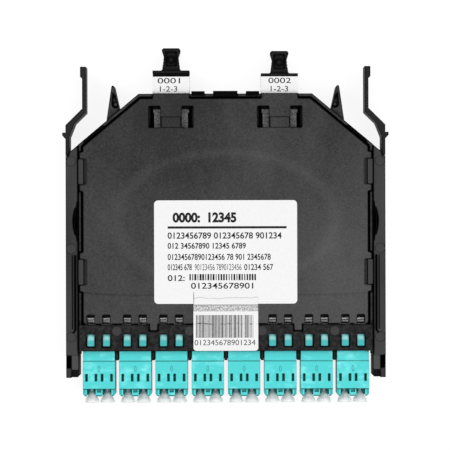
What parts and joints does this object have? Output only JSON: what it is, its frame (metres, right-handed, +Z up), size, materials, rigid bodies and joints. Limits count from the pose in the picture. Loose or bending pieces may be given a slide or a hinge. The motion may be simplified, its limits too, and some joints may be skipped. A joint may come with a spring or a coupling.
{
  "type": "fibre cassette",
  "caption": "Flat patch-panel cassette: moulded tray with side rails and latch arms, clipped cover, duplex fibre ports in front, multi-fibre ports behind.",
  "frame": {"origin": "middle of the tray's underside", "axes": "+Z up through the cover, +Y from the duplex ports to the multi-fibre ports, +X to the right seen from above"},
  "size_m": [0.1308, 0.1425, 0.0127],
  "materials": {
    "case": "satin moulded",
    "mpo": "satin moulded",
    "adapter": "satin moulded",
    "dust_plug": "translucent soft moulding",
    "plug": "matte",
    "sleeve": "polished ceramic",
    "label": "coated paper",
    "lead": "matte"
  },
  "bodies": {
    "case": {"tray": "case", "cover": "case", "lc_adapter_1": "adapter", "alignment_sleeves_1": "sleeve", "inner_lc_plugs_1": "plug", "lc_adapter_2": "adapter", "alignment_sleeves_2": "sleeve", "inner_lc_plugs_2": "plug", "lc_adapter_3": "adapter", "alignment_sleeves_3": "sleeve", "inner_lc_plugs_3": "plug", "lc_adapter_4": "adapter", "alignment_sleeves_4": "sleeve", "inner_lc_plugs_4": "plug", "lc_adapter_5": "adapter", "alignment_sleeves_5": "sleeve", "inner_lc_plugs_5": "plug", "lc_adapter_6": "adapter", "alignment_sleeves_6": "sleeve", "inner_lc_plugs_6": "plug", "lc_adapter_7": "adapter", "alignment_sleeves_7": "sleeve", "inner_lc_plugs_7": "plug", "lc_adapter_8": "adapter", "alignment_sleeves_8": "sleeve", "inner_lc_plugs_8": "plug", "mpo_adapter_1": "mpo", "inner_mpo_plug_1": "plug", "mpo_label_1": "label", "fanout_block_1": "mpo", "fibre_leads_1": "lead", "mpo_adapter_2": "mpo", "inner_mpo_plug_2": "plug", "mpo_label_2": "label", "fanout_block_2": "mpo", "fibre_leads_2": "lead", "main_label": "label", "seal_label": "label"},
    "left_latch_arm": {"left_latch_arm": "case"},
    "right_latch_arm": {"right_latch_arm": "case"},
    "lc_dust_plug_1": {"lc_dust_plug_1": "dust_plug"},
    "lc_dust_plug_2": {"lc_dust_plug_2": "dust_plug"},
    "lc_dust_plug_3": {"lc_dust_plug_3": "dust_plug"},
    "lc_dust_plug_4": {"lc_dust_plug_4": "dust_plug"},
    "lc_dust_plug_5": {"lc_dust_plug_5": "dust_plug"},
    "lc_dust_plug_6": {"lc_dust_plug_6": "dust_plug"},
    "lc_dust_plug_7": {"lc_dust_plug_7": "dust_plug"},
    "lc_dust_plug_8": {"lc_dust_plug_8": "dust_plug"},
    "lc_dust_plug_9": {"lc_dust_plug_9": "dust_plug"},
    "lc_dust_plug_10": {"lc_dust_plug_10": "dust_plug"},
    "lc_dust_plug_11": {"lc_dust_plug_11": "dust_plug"},
    "lc_dust_plug_12": {"lc_dust_plug_12": "dust_plug"},
    "lc_dust_plug_13": {"lc_dust_plug_13": "dust_plug"},
    "lc_dust_plug_14": {"lc_dust_plug_14": "dust_plug"},
    "lc_dust_plug_15": {"lc_dust_plug_15": "dust_plug"},
    "lc_dust_plug_16": {"lc_dust_plug_16": "dust_plug"},
    "mpo_dust_cap_1": {"mpo_dust_cap_1": "mpo"},
    "mpo_dust_cap_2": {"mpo_dust_cap_2": "mpo"}
  },
  "joints": [
    {"name": "left_latch_arm_flex", "type": "hinge", "parent": "case", "child": "left_latch_arm", "pos_m": [-0.06335, 0.0271, 0.00625], "axis": [0, 0, -1], "range_deg": [0, 9], "stiffness_Nm_per_rad": 1.5},
    {"name": "right_latch_arm_flex", "type": "hinge", "parent": "case", "child": "right_latch_arm", "pos_m": [0.06335, 0.0271, 0.00625], "axis": [0, 0, 1], "range_deg": [0, 9], "stiffness_Nm_per_rad": 1.5},
    {"name": "lc_dust_plug_1_pull", "type": "slide", "parent": "case", "child": "lc_dust_plug_1", "axis": [0, -1, 0], "range_m": [0, 0.018]},
    {"name": "lc_dust_plug_2_pull", "type": "slide", "parent": "case", "child": "lc_dust_plug_2", "axis": [0, -1, 0], "range_m": [0, 0.018]},
    {"name": "lc_dust_plug_3_pull", "type": "slide", "parent": "case", "child": "lc_dust_plug_3", "axis": [0, -1, 0], "range_m": [0, 0.018]},
    {"name": "lc_dust_plug_4_pull", "type": "slide", "parent": "case", "child": "lc_dust_plug_4", "axis": [0, -1, 0], "range_m": [0, 0.018]},
    {"name": "lc_dust_plug_5_pull", "type": "slide", "parent": "case", "child": "lc_dust_plug_5", "axis": [0, -1, 0], "range_m": [0, 0.018]},
    {"name": "lc_dust_plug_6_pull", "type": "slide", "parent": "case", "child": "lc_dust_plug_6", "axis": [0, -1, 0], "range_m": [0, 0.018]},
    {"name": "lc_dust_plug_7_pull", "type": "slide", "parent": "case", "child": "lc_dust_plug_7", "axis": [0, -1, 0], "range_m": [0, 0.018]},
    {"name": "lc_dust_plug_8_pull", "type": "slide", "parent": "case", "child": "lc_dust_plug_8", "axis": [0, -1, 0], "range_m": [0, 0.018]},
    {"name": "lc_dust_plug_9_pull", "type": "slide", "parent": "case", "child": "lc_dust_plug_9", "axis": [0, -1, 0], "range_m": [0, 0.018]},
    {"name": "lc_dust_plug_10_pull", "type": "slide", "parent": "case", "child": "lc_dust_plug_10", "axis": [0, -1, 0], "range_m": [0, 0.018]},
    {"name": "lc_dust_plug_11_pull", "type": "slide", "parent": "case", "child": "lc_dust_plug_11", "axis": [0, -1, 0], "range_m": [0, 0.018]},
    {"name": "lc_dust_plug_12_pull", "type": "slide", "parent": "case", "child": "lc_dust_plug_12", "axis": [0, -1, 0], "range_m": [0, 0.018]},
    {"name": "lc_dust_plug_13_pull", "type": "slide", "parent": "case", "child": "lc_dust_plug_13", "axis": [0, -1, 0], "range_m": [0, 0.018]},
    {"name": "lc_dust_plug_14_pull", "type": "slide", "parent": "case", "child": "lc_dust_plug_14", "axis": [0, -1, 0], "range_m": [0, 0.018]},
    {"name": "lc_dust_plug_15_pull", "type": "slide", "parent": "case", "child": "lc_dust_plug_15", "axis": [0, -1, 0], "range_m": [0, 0.018]},
    {"name": "lc_dust_plug_16_pull", "type": "slide", "parent": "case", "child": "lc_dust_plug_16", "axis": [0, -1, 0], "range_m": [0, 0.018]},
    {"name": "mpo_dust_cap_1_pull", "type": "slide", "parent": "case", "child": "mpo_dust_cap_1", "axis": [0, 1, 0], "range_m": [0, 0.012]},
    {"name": "mpo_dust_cap_2_pull", "type": "slide", "parent": "case", "child": "mpo_dust_cap_2", "axis": [0, 1, 0], "range_m": [0, 0.012]}
  ]
}
